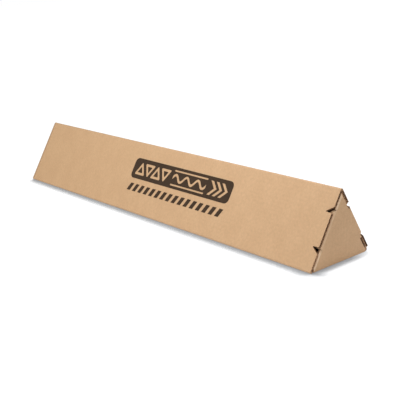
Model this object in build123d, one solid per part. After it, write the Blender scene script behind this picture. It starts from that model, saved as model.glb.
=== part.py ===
from build123d import *
import math
import os

# A triangular mailing tube folded from one sheet of corrugated board.
# It lies on one face. X runs along the tube towards the near end, Z is up,
# and the printed front panel faces -Y. Sizes are in millimetres.

# Overall form
tube_length = 609.6     # between the outer faces of the two end panels
base_width = 108.4      # bottom panel, between sharp corners
side_slope = 58.7       # angle of the two standing walls, in degrees

# Corrugated board
board = 3.2             # whole thickness
liner = 0.38            # each flat facing paper
medium = 0.28           # paper of the wave at a crest
flank = 0.45            # paper of the wave, measured level across its slope
flute_pitch = 5.1       # one full wave
crest_width = 1.0       # open flute at its narrow end, between sharp corners
crest_radius = 0.8      # rounding of that narrow end

# Folds and the glued seam
fold_radius = 2.2       # outer rounding of a fold in the wrap
seam_gap = 6.7          # the back panel stops this short of the lower corner
glue_flap_width = 25.0  # from the lower corner up the inside of the back panel

# Ends of the two standing walls, measured in from the end panel's outer face
wall_setback = 0.4
seam_setback = 2.0      # the back wall below its tongue, where the seam is
front_tongue_setback = 1.2
back_tongue_setback = 2.6
tongue_start = 31.8     # down the slope from the ridge corner
tongue_end = 72.3
notch_width = 7.8       # along the wall's end, from the tongue's corner
notch_depth = 10.2
notch_flare = 0.6       # how much the notch's tip leans back behind the tongue
notch_radius = 0.5

# End panels with their tuck flaps
panel_clearance = 0.5   # between an end panel's edge and the wall beside it
glue_clearance = 5.0    # between a tuck flap and the top of the glue flap
hinge_gap = 0.3         # between the bottom panel's end and the folded edge
tip_width = 1.0         # flat tip of the end panel under the ridge
corner_height = 4.8     # upright part of the end panel's lower corners
edge_radius = 1.6       # soft outer edge of the end panel
tuck_start = 26.6       # down the slope from the ridge corner
tuck_depth = 18.0       # length of a tuck flap into the tube
tuck_taper = 15.0       # how much its upper end draws in over that length
shoulder_depth = 8.0    # its lower end stays nearly square this far in
shoulder_taper = 1.5
tuck_lean = 9.0         # how far it leans in from the wall, in degrees
tuck_radius = 2.0
relief_inset = 0.3      # from each end of a tuck fold to the cut that frees it
hole_width = 1.8        # upper relief cut
hole_depth = 1.3
slit_width = 0.8        # lower relief cut
slit_depth = 1.8
lip_reach = 2.2         # the back fold bulges over the tongue's raw edge
lip_thickness = 2.0
lip_radius = 1.5
lip_start = 31.0        # down the slope from the ridge corner
lip_clearance = 0.6     # left free at the tongue's lower end

# Printing on the front panel
ink = 0.15
bar_length = 205.0
bar_height = 30.0
bar_radius = 7.0
bar_rise = 12.5         # centre of the bar above the panel's middle line
print_centre = 42.5     # centre of the printing along the tube
stripe_height = 11.0
stripe_width = 7.0
stripe_pitch = 12.5
stripe_slant = 5.0      # how far a stripe leans over its height
stripe_gap = 7.5        # between the bar and the row of stripes

# Worked out from the sizes above
slope = math.radians(side_slope)
side_height = base_width / 2 * math.tan(slope)
half_length = tube_length / 2
slope_length = base_width / 2 / math.cos(slope)
bar_down = slope_length / 2 - bar_rise
glue_flap_top = slope_length - glue_flap_width
tuck_end = glue_flap_top - glue_clearance
panel_inset = board + panel_clearance
overrun = 5.0           # how far a cutting solid runs past what it cuts

# Frames on the back wall, with their origin at the ridge corner.
# A wall outline is drawn as (x, -distance down the slope) and goes inwards.
# A wall section is drawn as (x, depth below the outer face) and goes downwards.
down_slope = Vector(0, math.cos(slope), -math.sin(slope))
inward = Vector(0, -math.sin(slope), -math.cos(slope))
ridge = Vector(0, 0, side_height)
wall_outline = Plane(origin=ridge, x_dir=(1, 0, 0), z_dir=inward)
wall_section = Plane(origin=ridge, x_dir=(1, 0, 0), z_dir=down_slope)


def half_width(z, inset):
    """Distance from the middle to a standing wall's plane at height z."""
    return base_width / 2 - z / math.tan(slope) - inset / math.sin(slope)


def on_back_wall(down, inset):
    """Point of the cross-section, down the slope and below the outer face."""
    point = ridge + down_slope * down + inward * inset
    return (point.Y, point.Z)


def face_of(points, radii):
    """Closed outline with its own rounding at each corner."""
    return make_face(FilletPolyline(*points, radius=radii, close=True))


def flutes(start, along, across, length):
    """Open flutes of one flat stretch of board, where start is on the outer face."""
    flute_base = flute_pitch - 2 * flank - crest_width
    count = int(length // flute_pitch)
    margin = (length - count * flute_pitch) / 2
    profile = [
        (-flute_base / 2, liner),
        (-crest_width / 2, board - liner - medium),
        (crest_width / 2, board - liner - medium),
        (flute_base / 2, liner),
    ]

    def channel(centre, from_inside):
        points = []
        for u, v in profile:
            depth = board - v if from_inside else v
            point = start + along * (centre + u) + across * depth
            points.append((point.X, point.Y))
        return face_of(points, [0, crest_radius, crest_radius, 0])

    outer_row = [channel(margin + (i + 0.5) * flute_pitch, False) for i in range(count)]
    inner_row = [channel(margin + i * flute_pitch, True) for i in range(1, count)]
    return outer_row + inner_row


def all_flutes():
    """Flutes of the two standing panels, the bottom panel and the glue flap."""
    crease = board / math.tan(slope / 2)
    down_2d = Vector(math.cos(slope), -math.sin(slope))
    inward_2d = Vector(-math.sin(slope), -math.cos(slope))
    ridge_2d = Vector(0, side_height)
    standing = slope_length - crease
    front = flutes(
        ridge_2d + Vector(-down_2d.X, down_2d.Y) * crease,
        Vector(-down_2d.X, down_2d.Y),
        Vector(-inward_2d.X, inward_2d.Y),
        standing - crease,
    )
    back = flutes(ridge_2d + down_2d * crease, down_2d, inward_2d, standing - seam_gap)
    bottom_start = Vector(-base_width / 2 + crease, 0)
    bottom = flutes(
        bottom_start,
        Vector(1, 0),
        Vector(0, 1),
        half_width(0, board) - crease - bottom_start.X,
    )
    glue_flap = flutes(
        ridge_2d + down_2d * glue_flap_top + inward_2d * board,
        down_2d,
        inward_2d,
        glue_flap_width - 2 * crease,
    )
    return front + back + bottom + glue_flap


def wrap_section():
    """Cross-section of the folded sheet, from the back panel round to the glue flap."""
    outside = face_of(
        [
            on_back_wall(slope_length - seam_gap, 0),
            (0, side_height),
            (-base_width / 2, 0),
            (half_width(0, board), 0),
            on_back_wall(slope_length - seam_gap, board),
        ],
        [0, fold_radius, fold_radius, fold_radius, 0],
    )
    inside = Polygon(
        (0, side_height - board / math.cos(slope)),
        (-half_width(board, board), board),
        (half_width(board, 2 * board), board),
        on_back_wall(glue_flap_top, 2 * board),
        on_back_wall(glue_flap_top, board),
    )
    return outside - inside - all_flutes()


def bottom_recess():
    """Space at the near end where the bottom panel stops short of the end panel."""
    outline = Polygon(
        (-half_width(-overrun, board), -overrun),
        (half_width(-overrun, 2 * board), -overrun),
        (half_width(board, 2 * board), board),
        (-half_width(board, board), board),
    )
    start = half_length - board - hinge_gap
    return extrude(Plane.YZ.offset(start) * outline, amount=board + hinge_gap + overrun)


def tongue_cut(tongue_setback, lower_setback, depth):
    """Two relief notches, the set-back tongue between them and the wall's end below."""
    edge = half_length - wall_setback
    tip = edge - notch_depth
    tongue = half_length - tongue_setback
    lower_edge = half_length - lower_setback
    past_end = half_length + overrun
    past_corner = slope_length + overrun
    outline = face_of(
        [
            (past_end, -(tongue_start - notch_width)),
            (edge, -(tongue_start - notch_width)),
            (tip, -(tongue_start - notch_flare)),
            (tongue, -tongue_start),
            (tongue, -tongue_end),
            (tip, -(tongue_end + notch_flare)),
            (lower_edge, -(tongue_end + notch_width)),
            (lower_edge, -past_corner),
            (past_end, -past_corner),
        ],
        [0, 0, notch_radius, 0, 0, notch_radius, 0, 0, 0],
    )
    through = extrude(wall_outline * outline, amount=depth)
    outside = extrude(wall_outline * outline, amount=-overrun)
    return through + outside


def tube_wrap():
    """The folded sheet: front, bottom and back panels and the glue flap."""
    wall_end = half_length - wall_setback
    wrap = extrude(Plane.YZ.offset(-wall_end) * wrap_section(), amount=2 * wall_end)
    recess = bottom_recess()
    wrap -= recess
    wrap -= mirror(recess, about=Plane.YZ)
    wrap -= tongue_cut(back_tongue_setback, seam_setback, 2 * board)
    wrap -= mirror(tongue_cut(front_tongue_setback, wall_setback, board), about=Plane.XZ)
    return wrap


def soft_edge(inset, start, end):
    """Waste to cut from the end panel's outer edge along one stretch of the back slope."""
    square = Polygon(
        (half_length - edge_radius, inset),
        (half_length, inset),
        (half_length, inset + edge_radius),
        (half_length - edge_radius, inset + edge_radius),
    )
    rounding = Pos(half_length - edge_radius, inset + edge_radius) * Circle(edge_radius)
    return extrude(wall_section.offset(start) * (square - rounding), amount=end - start)


def end_panel():
    """Near end panel with soft outer edges and a half-round folded lower edge."""
    step = (tuck_end + glue_flap_top) / 2
    tip_height = math.tan(slope) * (half_width(0, panel_inset) - tip_width / 2)
    # Upright lower corners, so that the panel clears the walls as it swings
    front_corner = -half_width(corner_height, panel_inset)
    back_corner = half_width(corner_height, panel_inset + board)
    outline = Polygon(
        (front_corner, corner_height),
        (front_corner, 0),
        (back_corner, 0),
        (back_corner, corner_height),
        on_back_wall(step, panel_inset + board),
        on_back_wall(step, panel_inset),
        (tip_width / 2, tip_height),
        (-tip_width / 2, tip_height),
    )
    panel = extrude(Plane.YZ.offset(half_length - board) * outline, amount=board)
    panel -= soft_edge(panel_inset, 0, step)
    panel -= soft_edge(panel_inset + board, step, slope_length + overrun)
    panel -= mirror(soft_edge(panel_inset, 0, slope_length + overrun), about=Plane.XZ)

    hinge_x = half_length - board / 2
    slab_height = side_height
    half_round = Pos(hinge_x, 0, board / 2) * Rot(90, 0, 0) * Cylinder(board / 2, base_width)
    slab = Pos(hinge_x, 0, board / 2 + slab_height / 2) * Box(board, base_width, slab_height)
    return panel & (half_round + slab)


def tuck_flap():
    """Flap on the back edge of the near end panel, leaning in from the wall."""
    lean = math.radians(tuck_lean)
    length = Vector(-math.cos(lean), 0, 0) + inward * math.sin(lean)
    thickness = inward * math.cos(lean) + Vector(math.sin(lean), 0, 0)
    root = ridge + Vector(half_length - board, 0, 0) + inward * panel_inset
    shoulder = tuck_end - shoulder_taper
    outline = face_of(
        [
            (0, tuck_start),
            (tuck_depth, tuck_start + tuck_taper),
            (tuck_depth, shoulder - (tuck_depth - shoulder_depth)),
            (shoulder_depth, shoulder),
            (0, tuck_end),
        ],
        [0, tuck_radius, tuck_radius, tuck_radius, 0],
    )
    frame = Plane(origin=root, x_dir=length, z_dir=thickness)
    return extrude(frame * outline, amount=board)


def relief_cut(down, width, depth):
    """Cut across the back tuck fold, centred that far down the slope."""
    near = half_length + overrun
    far = half_length - 2 * board
    edge = panel_inset + depth
    outline = Polygon((far, 0), (near, 0), (near, edge), (far, edge))
    return extrude(wall_section.offset(down - width / 2) * outline, amount=width)


def fold_lip():
    """Bulge of the back tuck fold over the raw edge of the tongue."""
    inner = half_length - lip_thickness
    root = panel_inset + 2 * edge_radius
    outline = face_of(
        [
            (inner, panel_inset - lip_reach),
            (half_length, panel_inset - lip_reach),
            (half_length, root),
            (inner, root),
        ],
        [0, lip_radius, 0, 0],
    )
    length = tongue_end - lip_clearance - lip_start
    return extrude(wall_section.offset(lip_start) * outline, amount=length)


def end_flap(with_lip):
    """Near end panel and its two tuck flaps, one folded piece."""
    flap = end_panel()
    back_tuck = tuck_flap()
    flap += back_tuck
    flap += mirror(back_tuck, about=Plane.XZ)
    hole = relief_cut(tuck_start + relief_inset, hole_width, hole_depth)
    slit = relief_cut(tuck_end - relief_inset, slit_width, slit_depth)
    for cut in (hole, slit):
        flap -= cut
        flap -= mirror(cut, about=Plane.XZ)
    if with_lip:
        flap += fold_lip()
    return flap


def ink_on_front(outline):
    """Thin ink layer, drawn as (x, -distance down the slope) on the front panel."""
    outward = Vector(0, -math.sin(slope), math.cos(slope))
    front = Plane(origin=ridge, x_dir=(1, 0, 0), z_dir=outward)
    return extrude(front * outline, amount=ink)


def print_bar():
    """Long printed field with rounded ends."""
    return ink_on_front(Pos(print_centre, -bar_down) * RectangleRounded(bar_length, bar_height, bar_radius))


def print_stripes():
    """Row of leaning printed stripes under the bar."""
    row_down = bar_down + bar_height / 2 + stripe_gap + stripe_height / 2
    count = int((bar_length - stripe_width - stripe_slant) // stripe_pitch) + 1
    stripe = Polygon(
        (-stripe_width / 2 - stripe_slant / 2, -stripe_height / 2),
        (stripe_width / 2 - stripe_slant / 2, -stripe_height / 2),
        (stripe_width / 2 + stripe_slant / 2, stripe_height / 2),
        (-stripe_width / 2 + stripe_slant / 2, stripe_height / 2),
    )
    row = [
        ink_on_front(Pos(print_centre + (i - (count - 1) / 2) * stripe_pitch, -row_down) * stripe)
        for i in range(count)
    ]
    return Compound(children=row)


def main():
    wrap = tube_wrap()
    nodes = {
        "tube_wrap": wrap,
        "near_end_flap": end_flap(with_lip=True),
        "far_end_flap": mirror(end_flap(with_lip=False), about=Plane.YZ),
        "print_bar": print_bar(),
        "print_stripes": print_stripes(),
    }
    # The origin is under the middle of the tube's own width
    middle = wrap.bounding_box().center().Y
    os.makedirs("parts", exist_ok=True)
    for name, node in nodes.items():
        export_step(Pos(0, -middle, 0) * node, f"parts/{name}.step")


main()
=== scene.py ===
"""Looks of a triangular cardboard mailing tube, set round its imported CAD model."""
import bpy
import bmesh
import math
from mathutils import Matrix, Vector


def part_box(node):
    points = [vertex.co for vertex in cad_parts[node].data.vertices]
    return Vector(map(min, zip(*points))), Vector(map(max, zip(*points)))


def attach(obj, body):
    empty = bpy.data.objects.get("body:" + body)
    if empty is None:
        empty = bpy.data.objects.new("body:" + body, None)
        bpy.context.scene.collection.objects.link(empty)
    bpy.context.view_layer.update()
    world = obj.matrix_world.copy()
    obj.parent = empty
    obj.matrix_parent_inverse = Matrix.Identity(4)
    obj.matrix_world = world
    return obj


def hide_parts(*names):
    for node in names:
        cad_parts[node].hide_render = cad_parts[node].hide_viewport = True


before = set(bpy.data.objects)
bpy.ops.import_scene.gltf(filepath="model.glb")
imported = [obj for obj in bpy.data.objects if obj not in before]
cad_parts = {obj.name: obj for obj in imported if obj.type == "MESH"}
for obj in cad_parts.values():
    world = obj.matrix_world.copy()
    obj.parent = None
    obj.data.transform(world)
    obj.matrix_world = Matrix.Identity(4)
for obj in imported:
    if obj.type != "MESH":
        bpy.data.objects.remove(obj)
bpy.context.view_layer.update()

# Sizes of the folded sheet, in metres, as the CAD model has them
BASE_WIDTH = 0.1084
SIDE_SLOPE = math.radians(58.7)
BOARD = 0.0032
LINER = 0.00038
FLUTE_PITCH = 0.0051
SEAM_GAP = 0.0067        # the back panel stops this short of its lower corner
GLUE_FLAP_WIDTH = 0.025
PANEL_CLEARANCE = 0.0005
NOTCH_DEPTH = 0.0102
TUCK_LEAN = math.radians(9)
TUCK_START = 0.0266      # down the slope, as far as the tuck flaps reach
TUCK_END = 0.0743
SLOPE_LENGTH = BASE_WIDTH / 2 / math.cos(SIDE_SLOPE)
SIDE_HEIGHT = BASE_WIDTH / 2 * math.tan(SIDE_SLOPE)
CREASE = BOARD / math.tan(SIDE_SLOPE / 2)   # no flutes nearer to a fold than this
GLUE_FLAP_TOP = SLOPE_LENGTH - GLUE_FLAP_WIDTH
RIDGE_Y = max((v.co.z, v.co.y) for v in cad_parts["tube_wrap"].data.vertices)[1]
HALF_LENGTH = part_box("near_end_flap")[1][0]

# Directions in the cross-section, and its upper corner
DOWN_BACK = Vector((0, math.cos(SIDE_SLOPE), -math.sin(SIDE_SLOPE)))
DOWN_FRONT = Vector((0, -math.cos(SIDE_SLOPE), -math.sin(SIDE_SLOPE)))
OUT_BACK = Vector((0, math.sin(SIDE_SLOPE), math.cos(SIDE_SLOPE)))
OUT_FRONT = Vector((0, -math.sin(SIDE_SLOPE), math.cos(SIDE_SLOPE)))
RIDGE = Vector((0, RIDGE_Y, SIDE_HEIGHT))

# Telling the CAD faces apart. First, the cosines past which a face looks one way
SQUARE_ON = 0.99
TUCK_FACING = 0.95
CUT_FACING = 0.93
END_FACING = 0.3
INWARD_FACING = -0.5
# Then how far a place may be off, and how deep the papers of the two sides reach
SLIP = 0.0001
FOLD_SLIP = 0.0002
JOINT_SLIP = 0.001
OUTER_PAPER = LINER * 0.8
INNER_PAPER = LINER * 0.65
SAME_PLACE = 1e-6        # corners nearer to each other than this are one
SHARP_TURN = math.radians(28)               # an edge that turns more stays sharp
NUDGE = 0.00004          # how far inside its face a corner is looked at
MOST_NUDGE = 0.02        # at most this part of the way to the face's middle
FAR = 1.0                # a distance that no mark of wear reaches

# Kept at each corner: depth in the board, distance along its cut, and the distances from
# the end panel's front edge and from the glued joint
MARKS = ("depth", "along", "rim", "joint")

PRESS_START = 0.0785     # the front panel's end is pressed flat below this
JOINT_REACH = 0.01       # the flutes nearer to the glued joint than this get painted shade

# Wear of the board, painted highlights and painted shade: two distances each, and how strong it is at
# them
# Painted light: the front fold is lightened against its own shade, partly as crease wear, and the end
# panels' front rim gets a painted highlight
FOLD_LIGHTENING = ((-SLOPE_LENGTH + 0.0008, -SLOPE_LENGTH + 0.0032), (0.7, 0.0))
RIM_HIGHLIGHT = ((0.0012, 0.0032), (1.0, 0.0))
LOW_RIM = ((PRESS_START - 0.003, PRESS_START + 0.001), (0.4, 1.0))
HIGH_RIM = ((0.022, 0.030), (1.0, 0.4))
# Painted shade along the wrap's ridge and beside its far end
RIDGE_SHADE = ((0.0012, 0.0034), (1.0, 0.0))
FAR_END_SHADE = ((0.0020 - HALF_LENGTH, 0.0060 - HALF_LENGTH), (0.8, 0.0))
# Pressed pale board, which is partly painted light over the shade of the flute faces and cut edges
FRONT_PRESSED_LIGHTENED = ((-PRESS_START - 0.002, -PRESS_START), (0.9, 0.0))
RIDGE_PRESSED_LIGHTENED = ((0.0040, 0.0056), (0.75, 0.0))
CORNER_PRESSED_LIGHTENED = ((0.0955, 0.0975), (0.0, 0.9))
JOINT_PRESSED = ((0.0004, 0.0009), (0.9, 0.0))
# Painted shade in the flutes beside the glued joint
JOINT_FLUTE_SHADE = ((0.0009, 0.0014), (0.0, 0.65))

# Printing, in metres. Places in the bar are from its middle
PRINT_X = 0.0425         # along the tube, of the bar and the stripes
BAR_DOWN = SLOPE_LENGTH / 2 - 0.0125        # from the ridge down the front panel
BAR_LENGTH = 0.205
BAR_HEIGHT = 0.030
BAR_RADIUS = 0.007
TRIANGLE_START = -0.0850
TRIANGLE_PITCH = 0.018
TRIANGLE_COUNT = 4
TRIANGLE_SIDES = ((0.0225, 0.0014), (0.0105, 0.0008))   # bare and inked, with their rounding
TRIANGLE_DROP = 0.0026   # of its middle away from its tip
BAND_X = 0.0200
BAND_LENGTH = 0.0680
BAND_SWING = 0.0045
BAND_STROKE = 0.0034
BAND_WAVES = 3
LINE_RISE = 0.0100
LINE_HEIGHT = 0.0022
LINE_RADIUS = 0.0009
CHEVRON_START = 0.0650
CHEVRON_PITCH = 0.0105
CHEVRON_COUNT = 3
CHEVRON_HEIGHT = 0.0195
CHEVRON_STROKE = 0.0052
STRIPE_HEIGHT = 0.011
STRIPE_WIDTH = 0.007
STRIPE_PITCH = 0.0125
STRIPE_SLANT = 0.005
STRIPE_GAP = 0.0075
STRIPES_DOWN = BAR_DOWN + BAR_HEIGHT / 2 + STRIPE_GAP + STRIPE_HEIGHT / 2
STRIPE_COUNT = 16
INK = 0.00015

# Colours, as 8-bit sRGB triples
KRAFT = (212, 172, 128)
KRAFT_SHADE = (203, 162, 119)
KRAFT_FLECK = (168, 126, 91)
# Painted highlight on the end panels' rim, and the lightened front fold
KRAFT_HIGHLIGHT = (238, 205, 168)
# Painted shade along the ridge and the far end
KRAFT_EDGE_SHADE = (174, 138, 102)
CUT_LINER = (184, 144, 110)
CUT_CORE = (192, 152, 117)
# Painted shade of the open flutes in a cut edge
CUT_VOID_SHADE = (86, 60, 42)
FLUTE_PAPER = (158, 119, 88)
FLUTE_SHADE = (118, 86, 62)
# Pale pressed board, partly painted light over the flutes' shade
PRESSED_AND_LIGHTENED = (198, 157, 121)
INK_BROWN = (57, 42, 28)

# How the papers and the ink vary: two values of a noise each, and what it gives at them
NOISE_SPAN = (0.3, 0.7)  # most of a noise lies between these
CLOUD_SHADE = (NOISE_SPAN, (0.0, 0.55))
MOTTLE_SHADE = ((0.35, 0.75), (0.0, 0.5))
FLECK_SHADE = ((0.70, 0.80), (0.0, 0.45))
FIBRE_LEVEL = (NOISE_SPAN, (0.955, 1.045))
GRAIN_LEVEL = (NOISE_SPAN, (-0.035, 0.035))
LINER_ROUGHNESS = (NOISE_SPAN, (0.70, 0.60))
INK_ROUGHNESS = (NOISE_SPAN, (0.72, 0.6))
INK_BARE = ((0.35, 0.75), (0.0, 0.07))
WAVE_LEVEL = 0.003       # how much painted shading of the washboard over the flutes lightens and darkens the liner
FIRST_SHARE = 0.6        # of the first of two noises that are added
CUT_ROUGHNESS = 0.95
LINER_GLOSS = 0.5
INK_GLOSS = 0.15
CUT_GLOSS = 0.1

# The drawn cut edge, in parts of the board's thickness
WAVE_SWING = 0.33
WAVE_STROKE = ((0.05, 0.13), (1.0, 0.0))
LINER_START = ((0.38, 0.42), (0.0, 1.0))   # from the middle of the board
FRAY = 0.06

# Camera: place in metres, angles in degrees, sensor and lens in millimetres
CAMERA_PLACE = (0.85391, -0.67125, 0.33684)
CAMERA_AZIMUTH = 49.765
CAMERA_ELEVATION = 16.695
CAMERA_ROLL = -2.461
SENSOR_WIDTH = 36.0
LENS = 72.0

# Square lamps: name, place, side, power, colour
LAMP_AIM = (0.15, 0, 0.04)
LAMPS = (
    ("key", (-0.34, -0.41, 0.57), 0.34, 1.40, (1.0, 0.99, 0.93)),
    ("near_fill", (0.20, -0.25, 0.60), 0.30, 0.60, (1.0, 1.0, 1.0)),
    ("top", (0.25, 0.10, 0.50), 0.30, 1.50, (0.96, 1.02, 1.20)),
)
WORLD_LEVEL = 0.48

# The floor, and the contact shadow painted into its glow beside the tube
FLOOR_SIZE = 12
FLOOR_COLOUR = (0.9, 0.9, 0.9, 1)
SEEN_COLOUR = (0.12, 0.12, 0.12, 1)
LIT_GLOW = (1, 1, 1, 1)
DARK_GLOW = (0.93, 0.96, 1, 1)
LOOKS = 16               # rays that each contact shade sends out
CONTACTS = (
    # way looked, reach, most that can be hidden, fall-off, darkness, most darkness
    ((0, 1, 0), 0.0225, 0.43, 5.2, 1.65, 0.70),
    ((0, -1, 0), 0.0100, 0.43, 3.3, 0.60, 0.60),
    ((-1, 0, 0), 0.0190, 0.50, 5.6, 1.30, 0.80),
    ((1, 0, 0), 0.0190, 0.50, 5.6, 1.30, 0.80),
)
CORNER_CONTACT = ((-0.707, 0.707, 0), 0.0255, 0.40, 2.8, 1.50, 0.66)
# Two places each, and the factor at them: the corner's painted contact shadow is kept to the near front
# corner, and the whole painted shadow narrows towards the near end and pales towards the back
CORNER_ALONG = ((0.270, 0.300), (0.0, 1.0))
CORNER_ACROSS = ((-0.048, -0.030), (1.0, 0.0))
NARROWING = ((0.08, 0.28), (1.0, 1.25))
PALING = ((0.012, 0.046), (1.0, 0.5))


def make_camera():
    """Camera at the photograph's place."""
    a, e, r = (math.radians(x) for x in (CAMERA_AZIMUTH, CAMERA_ELEVATION, CAMERA_ROLL))
    back = Vector((math.sin(a) * math.cos(e), -math.cos(a) * math.cos(e), math.sin(e)))
    level_right = Vector((math.cos(a), math.sin(a), 0))
    level_up = back.cross(level_right)
    right = level_right * math.cos(r) + level_up * math.sin(r)
    up = level_up * math.cos(r) - level_right * math.sin(r)
    data = bpy.data.cameras.new("photo_camera")
    data.sensor_width = SENSOR_WIDTH
    data.lens = LENS
    camera = bpy.data.objects.new("photo_camera", data)
    bpy.context.scene.collection.objects.link(camera)
    turn = Matrix((right, up, back)).transposed()
    camera.matrix_world = Matrix.Translation(CAMERA_PLACE) @ turn.to_4x4()
    bpy.context.scene.camera = camera


def linear(rgb):
    """Linear colour of an 8-bit sRGB triple."""
    parts = [c / 255 / 12.92 if c <= 10 else ((c / 255 + 0.055) / 1.055) ** 2.4 for c in rgb]
    return (*parts, 1)


def seen_rays(nodes, links):
    """1 for the rays that show the backdrop: camera, glossy and transmission rays."""
    path = nodes.new("ShaderNodeLightPath")
    total = path.outputs["Is Camera Ray"]
    for kind in ("Is Glossy Ray", "Is Transmission Ray"):
        larger = nodes.new("ShaderNodeMath")
        larger.operation = "MAXIMUM"
        links.new(total, larger.inputs[0])
        links.new(path.outputs[kind], larger.inputs[1])
        total = larger.outputs[0]
    return total


class Tree:
    """Short calls for building one material's nodes."""

    def __init__(self, name):
        self.material = bpy.data.materials.new(name)
        self.material.use_nodes = True
        self.nodes = self.material.node_tree.nodes
        self.links = self.material.node_tree.links
        self.shader = self.nodes["Principled BSDF"]

    def link(self, source, target):
        """Links a socket, or the first output of a node, to another socket."""
        if hasattr(source, "outputs"):
            source = source.outputs[0]
        self.links.new(source, target)

    def fill(self, socket, value):
        """Links a socket to a node, or sets it to a plain value."""
        if isinstance(value, (int, float, tuple)):
            socket.default_value = value
        else:
            self.link(value, socket)

    def math(self, operation, *values):
        """Result of one math operation on sockets or plain values."""
        node = self.nodes.new("ShaderNodeMath")
        node.operation = operation
        for socket, value in zip(node.inputs, values):
            self.fill(socket, value)
        return node.outputs[0]

    def weighted(self, first, second, share):
        """Mean of two values, of which the first has that share."""
        rest = self.math("MULTIPLY", second, 1 - share)
        return self.math("ADD", self.math("MULTIPLY", first, share), rest)

    def between(self, value, span, ends=(0.0, 1.0)):
        """Maps a span onto two end values, smoothly, and holds outside."""
        node = self.nodes.new("ShaderNodeMapRange")
        node.interpolation_type = "SMOOTHSTEP"
        self.fill(node.inputs["Value"], value)
        for name, number in zip(("From Min", "From Max", "To Min", "To Max"), (*span, *ends)):
            node.inputs[name].default_value = number
        return node.outputs["Result"]

    def mix(self, factor, first, second, blend="MIX"):
        """Mix of two colours, the first where the factor is 0."""
        node = self.nodes.new("ShaderNodeMix")
        node.data_type = "RGBA"
        node.blend_type = blend
        self.fill(node.inputs["Factor"], factor)
        self.fill(node.inputs[6], first)
        self.fill(node.inputs[7], second)
        return node.outputs[2]

    def split(self, vector):
        """The X, Y and Z sockets of a vector."""
        node = self.nodes.new("ShaderNodeSeparateXYZ")
        self.link(vector, node.inputs[0])
        return node.outputs

    def sheet(self):
        """Place on the flat sheet in metres: X along the flutes, Y across them."""
        uv = self.nodes.new("ShaderNodeUVMap")
        uv.uv_map = "sheet"
        return uv

    def noise(self, across, along, turn=0.0, detail=2.0, roughness=0.5, distortion=0.0):
        """Noise on the flat sheet, in grains so many metres across and along the flutes."""
        mapping = self.nodes.new("ShaderNodeMapping")
        mapping.inputs["Scale"].default_value = (1 / along, 1 / across, 1)
        mapping.inputs["Rotation"].default_value = (0, 0, turn)
        self.link(self.sheet(), mapping.inputs["Vector"])
        node = self.nodes.new("ShaderNodeTexNoise")
        node.inputs["Scale"].default_value = 1.0
        node.inputs["Detail"].default_value = detail
        node.inputs["Roughness"].default_value = roughness
        node.inputs["Distortion"].default_value = distortion
        self.link(mapping, node.inputs["Vector"])
        return node.outputs["Fac"]

    def mark(self, name):
        """One of the values kept at the corners, see MARKS."""
        node = self.nodes.new("ShaderNodeAttribute")
        node.attribute_name = name
        return node.outputs["Fac"]

    def bump(self, height, distance, strength=1.0, under=None):
        """Normal of a surface with that relief, on top of another normal."""
        node = self.nodes.new("ShaderNodeBump")
        node.inputs["Distance"].default_value = distance
        node.inputs["Strength"].default_value = strength
        self.link(height, node.inputs["Height"])
        if under is not None:
            self.link(under, node.inputs["Normal"])
        return node.outputs[0]

    def surface(self, colour, roughness, specular, normal=None):
        """Sets the shader, and gives back the material."""
        self.fill(self.shader.inputs["Base Color"], colour)
        self.fill(self.shader.inputs["Roughness"], roughness)
        self.shader.inputs["Specular IOR Level"].default_value = specular
        if normal is not None:
            self.link(normal, self.shader.inputs["Normal"])
        return self.material


def fibre_height(tree):
    """Fine fibres of the paper, lying mostly across the flutes."""
    long = tree.noise(across=0.0034, along=0.0006, turn=0.09, detail=3, roughness=0.6, distortion=0.4)
    short = tree.noise(across=0.0011, along=0.0005, turn=-0.35, detail=3, roughness=0.6, distortion=0.8)
    return tree.weighted(long, short, FIRST_SHARE)


def flute_wave(tree, place):
    """Sine of the flutes, at a place across them in metres."""
    return tree.math("SINE", tree.math("MULTIPLY", place, 2 * math.pi / FLUTE_PITCH))


def painted_edge_light(tree):
    """How much painted light there is, 0 to 1: a painted highlight on the end panels' rounded front
    edge, and on the front fold a lightening that offsets the fold's shade and partly stands for crease
    wear.
    """
    fold = tree.between(tree.split(tree.sheet())["Y"], *FOLD_LIGHTENING)
    rim = tree.between(tree.mark("rim"), *RIM_HIGHLIGHT)
    low = tree.between(tree.mark("along"), *LOW_RIM)
    high = tree.between(tree.mark("along"), *HIGH_RIM)
    return tree.math("MAXIMUM", fold, tree.math("MULTIPLY", rim, tree.math("MAXIMUM", low, high)))


def painted_edge_shade(tree):
    """How much painted shade there is, 0 to 1, along the wrap's ridge and beside its far end."""
    place = tree.split(tree.sheet())
    on_wrap = tree.math("GREATER_THAN", tree.mark("rim"), FAR / 2)
    ridge = tree.between(tree.math("ABSOLUTE", place["Y"]), *RIDGE_SHADE)
    far_end = tree.between(place["X"], *FAR_END_SHADE)
    return tree.math("MULTIPLY", tree.math("MAXIMUM", ridge, far_end), on_wrap)


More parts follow.
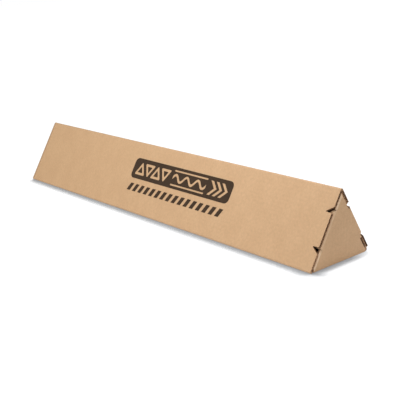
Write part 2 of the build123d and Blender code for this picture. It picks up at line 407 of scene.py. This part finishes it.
def liner_material():
    """Kraft liner with clouds, mottle, grain, fibres and flecks, with painted washboard shading,
    painted highlights on the rims and the front fold, and painted shade along the ridge and the far
    end.
    """
    tree = Tree("kraft_liner")
    clouds = tree.noise(across=0.030, along=0.022, detail=3, roughness=0.55)
    mottle = tree.noise(across=0.0068, along=0.0042, turn=0.2, roughness=0.6)
    grain = tree.noise(across=0.0032, along=0.0028, turn=0.8, roughness=0.6)
    flecks = tree.noise(across=0.0019, along=0.0011, turn=0.5, detail=1)
    fibres = fibre_height(tree)
    wave = flute_wave(tree, tree.split(tree.sheet())["Y"])
    colour = tree.mix(tree.between(clouds, *CLOUD_SHADE), linear(KRAFT), linear(KRAFT_SHADE))
    colour = tree.mix(tree.between(mottle, *MOTTLE_SHADE), colour, linear(KRAFT_SHADE))
    level = tree.between(fibres, *FIBRE_LEVEL)
    # Painted shading of the washboard ripple over the flutes
    level = tree.math("ADD", level, tree.math("MULTIPLY", wave, WAVE_LEVEL))
    level = tree.math("ADD", level, tree.between(grain, *GRAIN_LEVEL))
    grey = tree.nodes.new("ShaderNodeCombineColor")
    for channel in grey.inputs:
        tree.link(level, channel)
    colour = tree.mix(1.0, colour, grey, "MULTIPLY")
    colour = tree.mix(tree.between(flecks, *FLECK_SHADE), colour, linear(KRAFT_FLECK))
    # Painted highlight on the rim, and the front fold lightened against its shade
    colour = tree.mix(painted_edge_light(tree), colour, linear(KRAFT_HIGHLIGHT))
    # Painted shade along the ridge and beside the far end
    colour = tree.mix(painted_edge_shade(tree), colour, linear(KRAFT_EDGE_SHADE))
    roughness = tree.between(fibres, *LINER_ROUGHNESS)
    washboard = tree.bump(wave, distance=0.000015)
    normal = tree.bump(fibres, distance=0.00012, strength=0.5, under=washboard)
    return tree.surface(colour, roughness, LINER_GLOSS, normal)


def with_wear_and_painted_light(tree, colour):
    """Colour of a cut end with its wear, painted light and painted shade. The board is pressed flat and
    pale at the lower corners and the bottom, below the front tongue, round the ridge and where two
    boards are glued; except where glued, this paleness is partly painted light over the shade of the
    flutes. The flutes beside the glue get painted shade."""
    across = tree.split(tree.sheet())["Y"]
    front = tree.between(across, *FRONT_PRESSED_LIGHTENED)
    ridge = tree.between(tree.math("ABSOLUTE", across), *RIDGE_PRESSED_LIGHTENED)
    corner = tree.between(tree.mark("along"), *CORNER_PRESSED_LIGHTENED)
    # Pressed paleness, partly painted light over the flutes' shade
    pressed = tree.math("MAXIMUM", tree.math("MAXIMUM", front, ridge), corner)
    colour = tree.mix(pressed, colour, linear(PRESSED_AND_LIGHTENED))
    joint = tree.mark("joint")
    # Painted shade in the flutes beside the glue
    beside = tree.math("LESS_THAN", joint, JOINT_REACH)
    flutes = tree.math("MULTIPLY", tree.between(joint, *JOINT_FLUTE_SHADE), beside)
    colour = tree.mix(flutes, colour, linear(CUT_VOID_SHADE))
    return tree.mix(tree.between(joint, *JOINT_PRESSED), colour, linear(PRESSED_AND_LIGHTENED))


def edge_material():
    """Die-cut edge: two thin liners with the wave of the medium between them, and painted shade in the
    open flutes beside the wave.
    """
    tree = Tree("kraft_cut_edge")
    depth = tree.math("DIVIDE", tree.mark("depth"), BOARD)
    ragged = tree.noise(across=0.0022, along=0.0022, roughness=0.6)
    swing = tree.math("MULTIPLY", flute_wave(tree, tree.mark("along")), WAVE_SWING)
    off_wave = tree.math("ABSOLUTE", tree.math("SUBTRACT", depth, tree.math("ADD", swing, 0.5)))
    on_wave = tree.between(off_wave, *WAVE_STROKE)
    # Painted shade: the open flutes are dark beside the wave of the medium
    core = tree.mix(on_wave, linear(CUT_VOID_SHADE), linear(CUT_CORE))
    from_middle = tree.math("ABSOLUTE", tree.math("SUBTRACT", depth, 0.5))
    fray = tree.math("MULTIPLY", tree.math("SUBTRACT", ragged, 0.5), FRAY)
    in_liner = tree.between(tree.math("ADD", from_middle, fray), *LINER_START)
    colour = with_wear_and_painted_light(tree, tree.mix(in_liner, core, linear(CUT_LINER)))
    normal = tree.bump(ragged, distance=0.0002, strength=0.6)
    return tree.surface(colour, CUT_ROUGHNESS, CUT_GLOSS, normal)


def flute_material():
    """Dark paper inside the open flutes."""
    tree = Tree("flute_paper")
    fibres = tree.noise(across=0.003, along=0.001, roughness=0.6)
    colour = tree.mix(tree.between(fibres, NOISE_SPAN), linear(FLUTE_PAPER), linear(FLUTE_SHADE))
    return tree.surface(with_wear_and_painted_light(tree, colour), CUT_ROUGHNESS, CUT_GLOSS)


def ink_material():
    """Flat brown ink with a little board showing through."""
    tree = Tree("brown_ink")
    fibres = fibre_height(tree)
    mottle = tree.noise(across=0.006, along=0.004, roughness=0.6)
    bare = tree.between(tree.weighted(fibres, mottle, FIRST_SHARE), *INK_BARE)
    colour = tree.mix(bare, linear(INK_BROWN), linear(KRAFT_FLECK))
    roughness = tree.between(fibres, *INK_ROUGHNESS)
    normal = tree.bump(fibres, distance=0.0001, strength=0.5)
    return tree.surface(colour, roughness, INK_GLOSS, normal)


def wall_of(point, normal):
    """Place of a point of the wrap: depth in its wall, distance down it, its way down."""
    offset = point - RIDGE
    front = -offset.dot(OUT_FRONT)
    back = -offset.dot(OUT_BACK)
    bottom = point.z
    back_down = offset.dot(DOWN_BACK)
    second_board = BOARD - SLIP < back < 2 * BOARD + SLIP and back - BOARD < bottom
    if second_board and back_down > GLUE_FLAP_TOP - SLIP:
        if back > BOARD + SLIP or normal.dot(OUT_BACK) > INWARD_FACING:
            return back - BOARD, back_down, DOWN_BACK
    nearest = min(front, back, bottom)
    if nearest == bottom:
        return bottom, SLOPE_LENGTH + point.y - RIDGE_Y + BASE_WIDTH / 2, Vector((0, 1, 0))
    if nearest == front:
        return front, offset.dot(DOWN_FRONT), DOWN_FRONT
    return back, back_down, DOWN_BACK


def near_fold(point):
    """True within a crease of one of the wrap's three sharp corners."""
    lower = [Vector((0, RIDGE_Y + side * BASE_WIDTH / 2, 0)) for side in (-1, 1)]
    return any(math.hypot(point.y - c.y, point.z - c.z) < CREASE for c in (RIDGE, *lower))


def wrap_face(centre, normal):
    """Which paper a face of the wrap shows: 0 liner, 1 cut edge, 2 inside of a flute."""
    depth, along, down = wall_of(centre, normal)
    if abs(normal.dot(down)) > CUT_FACING:
        # Near the near end the notch sides take the darker flute paper: the inside of a flute cut
        # along, and also painted shade of the deep notches
        return 2 if centre.x > HALF_LENGTH - NOTCH_DEPTH else 1
    if abs(normal.x) > END_FACING:
        return 1
    inside = OUTER_PAPER < depth < BOARD - INNER_PAPER
    return 2 if inside and not near_fold(centre) else 0


def first_wave(start, length):
    """Where the wave of one stretch of flutes starts, as the CAD model spaces them."""
    margin = length % FLUTE_PITCH / 2
    return start + margin + FLUTE_PITCH / 4


def wrap_place(point, normal):
    """Sheet place and marks (see MARKS) for a point of the wrap."""
    depth, along, down = wall_of(point, normal)
    if down == DOWN_FRONT:
        wave = first_wave(CREASE, SLOPE_LENGTH - 2 * CREASE)
        return (point.x, -along), (depth, along - wave, FAR, FAR)
    back = -(point - RIDGE).dot(OUT_BACK)
    if back > BOARD and down == DOWN_BACK:
        wave = first_wave(GLUE_FLAP_TOP, GLUE_FLAP_WIDTH - 2 * CREASE)
    else:
        wave = first_wave(CREASE, SLOPE_LENGTH - CREASE - SEAM_GAP)
    glued = down == DOWN_BACK and along > GLUE_FLAP_TOP - JOINT_SLIP
    return (point.x, along), (depth, along - wave, FAR, abs(back - BOARD) if glued else FAR)


def flap_place(side):
    """Sheet place and marks (see MARKS) for a point of an end flap."""

    def place(point, normal):
        offset = point - RIDGE
        inset = min(-offset.dot(OUT_FRONT), -offset.dot(OUT_BACK)) - BOARD - PANEL_CLEARANCE
        down = max(offset.dot(DOWN_FRONT), offset.dot(DOWN_BACK))
        into = HALF_LENGTH - side * point.x
        rim = -offset.dot(OUT_FRONT) - BOARD - PANEL_CLEARANCE
        if into > BOARD + FOLD_SLIP:
            depth = inset / math.cos(TUCK_LEAN) - (into - BOARD) * math.tan(TUCK_LEAN)
            return (into, down), (depth, down, rim, FAR)
        return (HALF_LENGTH + point.z, point.y), (into, down, rim, FAR)

    return place


def flap_face(side):
    """Which paper a face of an end flap shows: 0 liner, 1 cut edge."""

    def face(centre, normal):
        offset = centre - RIDGE
        into = HALF_LENGTH - side * centre.x
        wall = max((OUT_FRONT, OUT_BACK), key=lambda out: offset.dot(out))
        if into > BOARD + FOLD_SLIP:
            return 0 if abs(normal.dot(wall)) > TUCK_FACING else 1
        down = max(offset.dot(DOWN_FRONT), offset.dot(DOWN_BACK))
        on_rim = normal.dot(wall) > SQUARE_ON or abs(normal.y) > SQUARE_ON
        beside_tuck = TUCK_START < down < TUCK_END
        in_slit = any(abs(normal.dot(way)) > SQUARE_ON for way in (DOWN_BACK, DOWN_FRONT))
        return 1 if in_slit or (on_rim and not beside_tuck) else 0

    return face


def dressed(node_name, body, classify, place, materials):
    """Copy of a CAD node with its papers told apart, which stands for that node."""
    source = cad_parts[node_name]
    mesh = bpy.data.meshes.new(node_name + "_board")
    bm = bmesh.new()
    bm.from_mesh(source.data)
    bmesh.ops.remove_doubles(bm, verts=bm.verts, dist=SAME_PLACE)
    bmesh.ops.recalc_face_normals(bm, faces=bm.faces)
    sheet = bm.loops.layers.uv.new("sheet")
    marks = [bm.verts.layers.float.new(name) for name in MARKS]
    for face in bm.faces:
        centre = face.calc_center_median()
        face.material_index = classify(centre, face.normal)
        face.smooth = True
        for loop in face.loops:
            reach = (centre - loop.vert.co).length
            inner = loop.vert.co.lerp(centre, min(MOST_NUDGE, NUDGE / reach))
            loop[sheet].uv, values = place(inner, face.normal)
            for mark, value in zip(marks, values):
                loop.vert[mark] = value
    bm.to_mesh(mesh)
    bm.free()
    mesh.set_sharp_from_angle(angle=SHARP_TURN)
    for material in materials:
        mesh.materials.append(material)
    piece = bpy.data.objects.new(node_name + "_board", mesh)
    bpy.context.scene.collection.objects.link(piece)
    shading = piece.modifiers.new("flat_panels", "WEIGHTED_NORMAL")
    shading.weight = 100
    shading.keep_sharp = True
    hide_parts(node_name)
    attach(piece, body)
    return piece


def rounded_box(x, y, width, height, radius, steps=6):
    """Closed outline of a box with round corners, anticlockwise."""
    points = []
    for i, (sx, sy) in enumerate(((1, 1), (-1, 1), (-1, -1), (1, -1))):
        cx = x + sx * (width / 2 - radius)
        cy = y + sy * (height / 2 - radius)
        for k in range(steps + 1):
            a = math.pi / 2 * (i + k / steps)
            points.append((cx + radius * math.cos(a), cy + radius * math.sin(a)))
    return points


def triangle(x, y, side, corner, tip, steps=4):
    """Closed outline of a triangle with round corners. Its tip is up (1) or down (-1)."""
    points = []
    reach = side / math.sqrt(3) - 2 * corner
    for i in range(3):
        a = tip * math.pi / 2 + 2 * math.pi / 3 * i
        for k in range(steps + 1):
            turn = a + math.radians(120) * (k / steps - 0.5)
            points.append((
                x + reach * math.cos(a) + corner * math.cos(turn),
                y + reach * math.sin(a) + corner * math.sin(turn),
            ))
    return points


def chevron(x, y, height, stroke):
    """Closed outline of an arrow head that points along the tube."""
    h = height / 2
    return [
        (x - h / 2, y + h),
        (x - h / 2 + stroke, y + h),
        (x + h / 2 + stroke, y),
        (x - h / 2 + stroke, y - h),
        (x - h / 2, y - h),
        (x + h / 2, y),
    ]


def wave_band(x, y, length, swing, stroke, waves, steps=12):
    """Closed outline of a wavy line."""
    count = waves * steps
    upper, lower = [], []
    for k in range(count + 1):
        px = x - length / 2 + length * k / count
        phase = 2 * math.pi * waves * k / count
        slant = math.cos(phase) * swing * 2 * math.pi * waves / length
        half = stroke / 2 * math.sqrt(1 + slant * slant)
        py = y + swing * math.sin(phase)
        upper.append((px, py + half))
        lower.append((px, py - half))
    return upper + lower[::-1]


def bar_outline():
    """The bar's own outline."""
    return [rounded_box(0, 0, BAR_LENGTH, BAR_HEIGHT, BAR_RADIUS)]


def bar_motifs():
    """Shapes left bare in the bar. A shape inside a bare one is inked again."""
    shapes = []
    for i in range(TRIANGLE_COUNT):
        tip = 1 - 2 * (i % 2)
        x = TRIANGLE_START + i * TRIANGLE_PITCH
        shapes += [triangle(x, -TRIANGLE_DROP * tip, *sides, tip) for sides in TRIANGLE_SIDES]
    shapes.append(wave_band(BAND_X, 0, BAND_LENGTH, BAND_SWING, BAND_STROKE, BAND_WAVES))
    for rise in (LINE_RISE, -LINE_RISE):
        shapes.append(rounded_box(BAND_X, rise, BAND_LENGTH, LINE_HEIGHT, LINE_RADIUS, steps=3))
    for i in range(CHEVRON_COUNT):
        shapes.append(chevron(CHEVRON_START + i * CHEVRON_PITCH, 0, CHEVRON_HEIGHT, CHEVRON_STROKE))
    return shapes


def stripe_outlines():
    """Row of leaning stripes."""
    h, w, lean = STRIPE_HEIGHT / 2, STRIPE_WIDTH / 2, STRIPE_SLANT / 2
    corners = ((-w - lean, -h), (w - lean, -h), (w + lean, h), (-w + lean, h))
    middles = [(i - (STRIPE_COUNT - 1) / 2) * STRIPE_PITCH for i in range(STRIPE_COUNT)]
    return [[(middle + x, y) for x, y in corners] for middle in middles]


def printed(node_name, outlines, motifs, down, material):
    """Thin ink on the front panel, with motifs left bare, which stands for a CAD node."""
    curve = bpy.data.curves.new(node_name, "CURVE")
    curve.dimensions = "2D"
    curve.fill_mode = "BOTH"
    curve.extrude = INK / 2
    for outline in outlines + motifs:
        spline = curve.splines.new("POLY")
        spline.points.add(len(outline) - 1)
        for point, (x, y) in zip(spline.points, outline):
            point.co = (x, y, 0, 1)
        spline.use_cyclic_u = True
    flat = bpy.data.objects.new("flat_ink", curve)
    bpy.context.scene.collection.objects.link(flat)
    evaluated = flat.evaluated_get(bpy.context.evaluated_depsgraph_get())
    mesh = bpy.data.meshes.new_from_object(evaluated)
    bpy.data.objects.remove(flat)
    middle = RIDGE + DOWN_FRONT * down + OUT_FRONT * (INK / 2) + Vector((PRINT_X, 0, 0))
    turn = Matrix((Vector((1, 0, 0)), -DOWN_FRONT, OUT_FRONT)).transposed().to_4x4()
    mesh.transform(Matrix.Translation(middle) @ turn)
    sheet = mesh.uv_layers.new(name="sheet")
    for loop in mesh.loops:
        place = mesh.vertices[loop.vertex_index].co
        sheet.data[loop.index].uv = (place.x, (place - RIDGE).dot(DOWN_FRONT))
    mesh.materials.clear()
    mesh.materials.append(material)
    piece = bpy.data.objects.new(node_name + "_ink", mesh)
    bpy.context.scene.collection.objects.link(piece)
    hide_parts(node_name)
    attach(piece, "tube")
    return piece


def add_lamp(name, place, side, power, colour):
    """Square lamp that looks at the tube and isn't seen."""
    data = bpy.data.lights.new(name, "AREA")
    data.shape = "RECTANGLE"
    data.size = data.size_y = side
    data.energy = power
    data.color = colour
    lamp = bpy.data.objects.new(name, data)
    lamp.location = place
    lamp.rotation_mode = "QUATERNION"
    lamp.rotation_quaternion = (Vector(LAMP_AIM) - Vector(place)).to_track_quat("-Z", "Y")
    lamp.visible_camera = False
    bpy.context.scene.collection.objects.link(lamp)


def make_world():
    """White backdrop that lights the tube at its own level."""
    world = bpy.data.worlds.new("studio")
    bpy.context.scene.world = world
    world.use_nodes = True
    nodes = world.node_tree.nodes
    links = world.node_tree.links
    background = nodes["Background"]
    background.inputs["Color"].default_value = (1, 1, 1, 1)
    level = nodes.new("ShaderNodeMix")
    level.data_type = "FLOAT"
    level.inputs["A"].default_value = WORLD_LEVEL
    level.inputs["B"].default_value = 1.0
    links.new(seen_rays(nodes, links), level.inputs["Factor"])
    links.new(level.outputs["Result"], background.inputs["Strength"])


def hidden_share(tree, toward, reach, most_hidden):
    """How much of the view one way from the floor meets the tube close by, from 0 to 1."""
    way = tree.nodes.new("ShaderNodeCombineXYZ")
    for socket, value in zip(way.inputs, toward):
        socket.default_value = value
    near = tree.nodes.new("ShaderNodeAmbientOcclusion")
    near.samples = LOOKS
    near.inputs["Distance"].default_value = reach
    tree.link(way, near.inputs["Normal"])
    hidden = tree.math("SUBTRACT", 1.0, near.outputs["AO"])
    return tree.math("MINIMUM", tree.math("DIVIDE", hidden, most_hidden), 1.0)


def contact_shade(tree, narrower, toward, reach, most_hidden, fall, depth, most):
    """How dark the painted shadow makes the floor for what it sees one way."""
    share = hidden_share(tree, toward, reach, most_hidden)
    hidden = tree.math("POWER", share, tree.math("MULTIPLY", narrower, fall))
    return tree.math("MINIMUM", tree.math("MULTIPLY", hidden, depth), most)


def floor_shade(tree):
    """How dark the painted contact shadow makes the floor beside the tube."""
    geometry = tree.nodes.new("ShaderNodeNewGeometry")
    place = tree.split(geometry.outputs["Position"])
    narrower = tree.between(place["X"], *NARROWING)
    at_end = tree.between(place["X"], *CORNER_ALONG)
    at_front = tree.between(place["Y"], *CORNER_ACROSS)
    corner = contact_shade(tree, narrower, *CORNER_CONTACT)
    dark = tree.math("MULTIPLY", corner, tree.math("MULTIPLY", at_end, at_front))
    for contact in CONTACTS:
        dark = tree.math("MAXIMUM", dark, contact_shade(tree, narrower, *contact))
    return tree.math("MULTIPLY", dark, tree.between(place["Y"], *PALING))


def make_floor():
    """White floor with a narrow contact shadow painted into its glow."""
    bpy.ops.mesh.primitive_plane_add(size=FLOOR_SIZE, location=(0, 0, 0))
    floor = bpy.context.object
    floor.name = "floor"
    tree = Tree("pale_floor")
    tree.nodes.remove(tree.shader)
    lighting = tree.nodes.new("ShaderNodeBsdfDiffuse")
    lighting.inputs["Color"].default_value = FLOOR_COLOUR
    seen = tree.nodes.new("ShaderNodeBsdfDiffuse")
    seen.inputs["Color"].default_value = SEEN_COLOUR
    dark = floor_shade(tree)
    glow = tree.nodes.new("ShaderNodeEmission")
    # Painted contact shadow: the floor's glow dims where the tube is near
    tree.link(tree.math("SUBTRACT", 1.0, dark), glow.inputs["Strength"])
    tree.link(tree.mix(dark, LIT_GLOW, DARK_GLOW), glow.inputs["Color"])
    both = tree.nodes.new("ShaderNodeAddShader")
    tree.link(seen, both.inputs[0])
    tree.link(glow, both.inputs[1])
    choice = tree.nodes.new("ShaderNodeMixShader")
    tree.link(seen_rays(tree.nodes, tree.links), choice.inputs[0])
    tree.link(lighting, choice.inputs[1])
    tree.link(both, choice.inputs[2])
    tree.link(choice, tree.nodes["Material Output"].inputs["Surface"])
    floor.data.materials.append(tree.material)


make_camera()
make_world()
make_floor()
for lamp in LAMPS:
    add_lamp(*lamp)

papers = [liner_material(), edge_material(), flute_material()]
dressed("tube_wrap", "tube", wrap_face, wrap_place, papers)
dressed("near_end_flap", "near_flap", flap_face(1), flap_place(1), papers)
dressed("far_end_flap", "far_flap", flap_face(-1), flap_place(-1), papers)

inked = ink_material()
printed("print_bar", bar_outline(), bar_motifs(), BAR_DOWN, inked)
printed("print_stripes", stripe_outlines(), [], STRIPES_DOWN, inked)

bpy.context.scene.view_settings.view_transform = "Standard"
